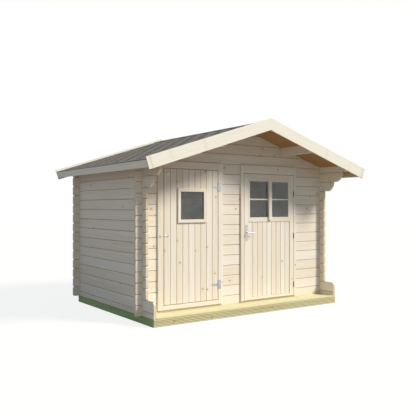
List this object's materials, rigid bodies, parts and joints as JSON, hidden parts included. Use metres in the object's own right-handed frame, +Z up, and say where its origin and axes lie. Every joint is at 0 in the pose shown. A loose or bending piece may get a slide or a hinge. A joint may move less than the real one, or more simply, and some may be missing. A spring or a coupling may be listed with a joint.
{
  "type": "garden tool shed",
  "caption": "Log-built garden tool shed with a shingled gable roof, a boarded door and a glazed door in its front, and a shallow porch deck.",
  "frame": {"origin": "on the ground under the middle of the roof, at the underside of the bearers", "axes": "+Z up, +X to the right when facing the doors, +Y from the front to the back; the ridge lies over X = 0"},
  "size_m": [3.6046, 2.805, 2.5422],
  "materials": {
    "log_wood": "planed untreated spruce logs",
    "trim_wood": "pale planed spruce boards",
    "door_wood": "planed spruce joinery",
    "roof_wood": "planed spruce roof boards",
    "floor_wood": "planed spruce floor boards",
    "deck_wood": "pressure treated grooved decking",
    "treated_wood": "green pressure treated bearers",
    "shingle": "mineral coated bitumen shingles",
    "window_glass": "clear glass",
    "zinc_steel": "galvanised steel",
    "hinge_steel": "dark plated steel",
    "handle_steel": "satin nickel plated steel",
    "white_plastic": "white moulded plastic"
  },
  "bodies": {
    "root": {"base_bearers": "treated_wood", "floor_boards": "floor_wood", "porch_deck": "deck_wood", "porch_fascia": "deck_wood", "left_wall": "log_wood", "right_wall": "log_wood", "back_wall": "log_wood", "back_gable": "log_wood", "front_sill_log": "log_wood", "front_wall_left": "log_wood", "front_wall_middle": "log_wood", "front_wall_right": "log_wood", "front_head_log": "log_wood", "front_gable": "log_wood", "roof_purlins": "roof_wood", "roof_boards_left": "roof_wood", "roof_boards_right": "roof_wood", "shingles_left": "shingle", "shingles_right": "shingle", "ridge_strip": "shingle", "front_barge_boards": "trim_wood", "back_barge_boards": "trim_wood", "eave_board_left": "trim_wood", "eave_board_right": "trim_wood", "left_door_casing": "door_wood", "right_door_casing": "door_wood", "left_hinge_plates": "zinc_steel", "right_hinge_plates": "hinge_steel", "hook_keeper": "zinc_steel"},
    "left_door": {"left_door_boards": "door_wood", "left_door_ledges": "door_wood", "left_window_trim": "trim_wood", "left_window_glass": "window_glass", "left_hinge_straps": "zinc_steel", "left_door_cap": "white_plastic", "hook_pivot": "zinc_steel"},
    "right_door": {"right_door_frame": "door_wood", "right_door_panel": "door_wood", "right_door_glass": "window_glass", "right_glazing_bars": "trim_wood", "right_handle_plates": "handle_steel", "right_hinge_leaves": "hinge_steel", "right_door_cap": "white_plastic"},
    "hook": {"cabin_hook": "zinc_steel"},
    "lever": {"lever_handle": "handle_steel"}
  },
  "joints": [
    {"name": "left_door_swing", "type": "hinge", "parent": "root", "child": "left_door", "pos_m": [-0.414, -0.831, 1.041], "axis": [0, 0, 1], "range_deg": [0, 110]},
    {"name": "right_door_swing", "type": "hinge", "parent": "root", "child": "right_door", "pos_m": [0.934, -0.831, 1], "axis": [0, 0, 1], "range_deg": [0, 110]},
    {"name": "hook_lift", "type": "hinge", "parent": "left_door", "child": "hook", "pos_m": [-1.18, -0.8345, 1.057], "axis": [0, 1, 0], "range_deg": [0, 100]},
    {"name": "lever_turn", "type": "hinge", "parent": "right_door", "child": "lever", "pos_m": [0.064, -0.8495, 1.06], "axis": [0, 1, 0], "range_deg": [0, 40], "stiffness_Nm_per_rad": 1.2, "springref_deg": -20.05}
  ]
}
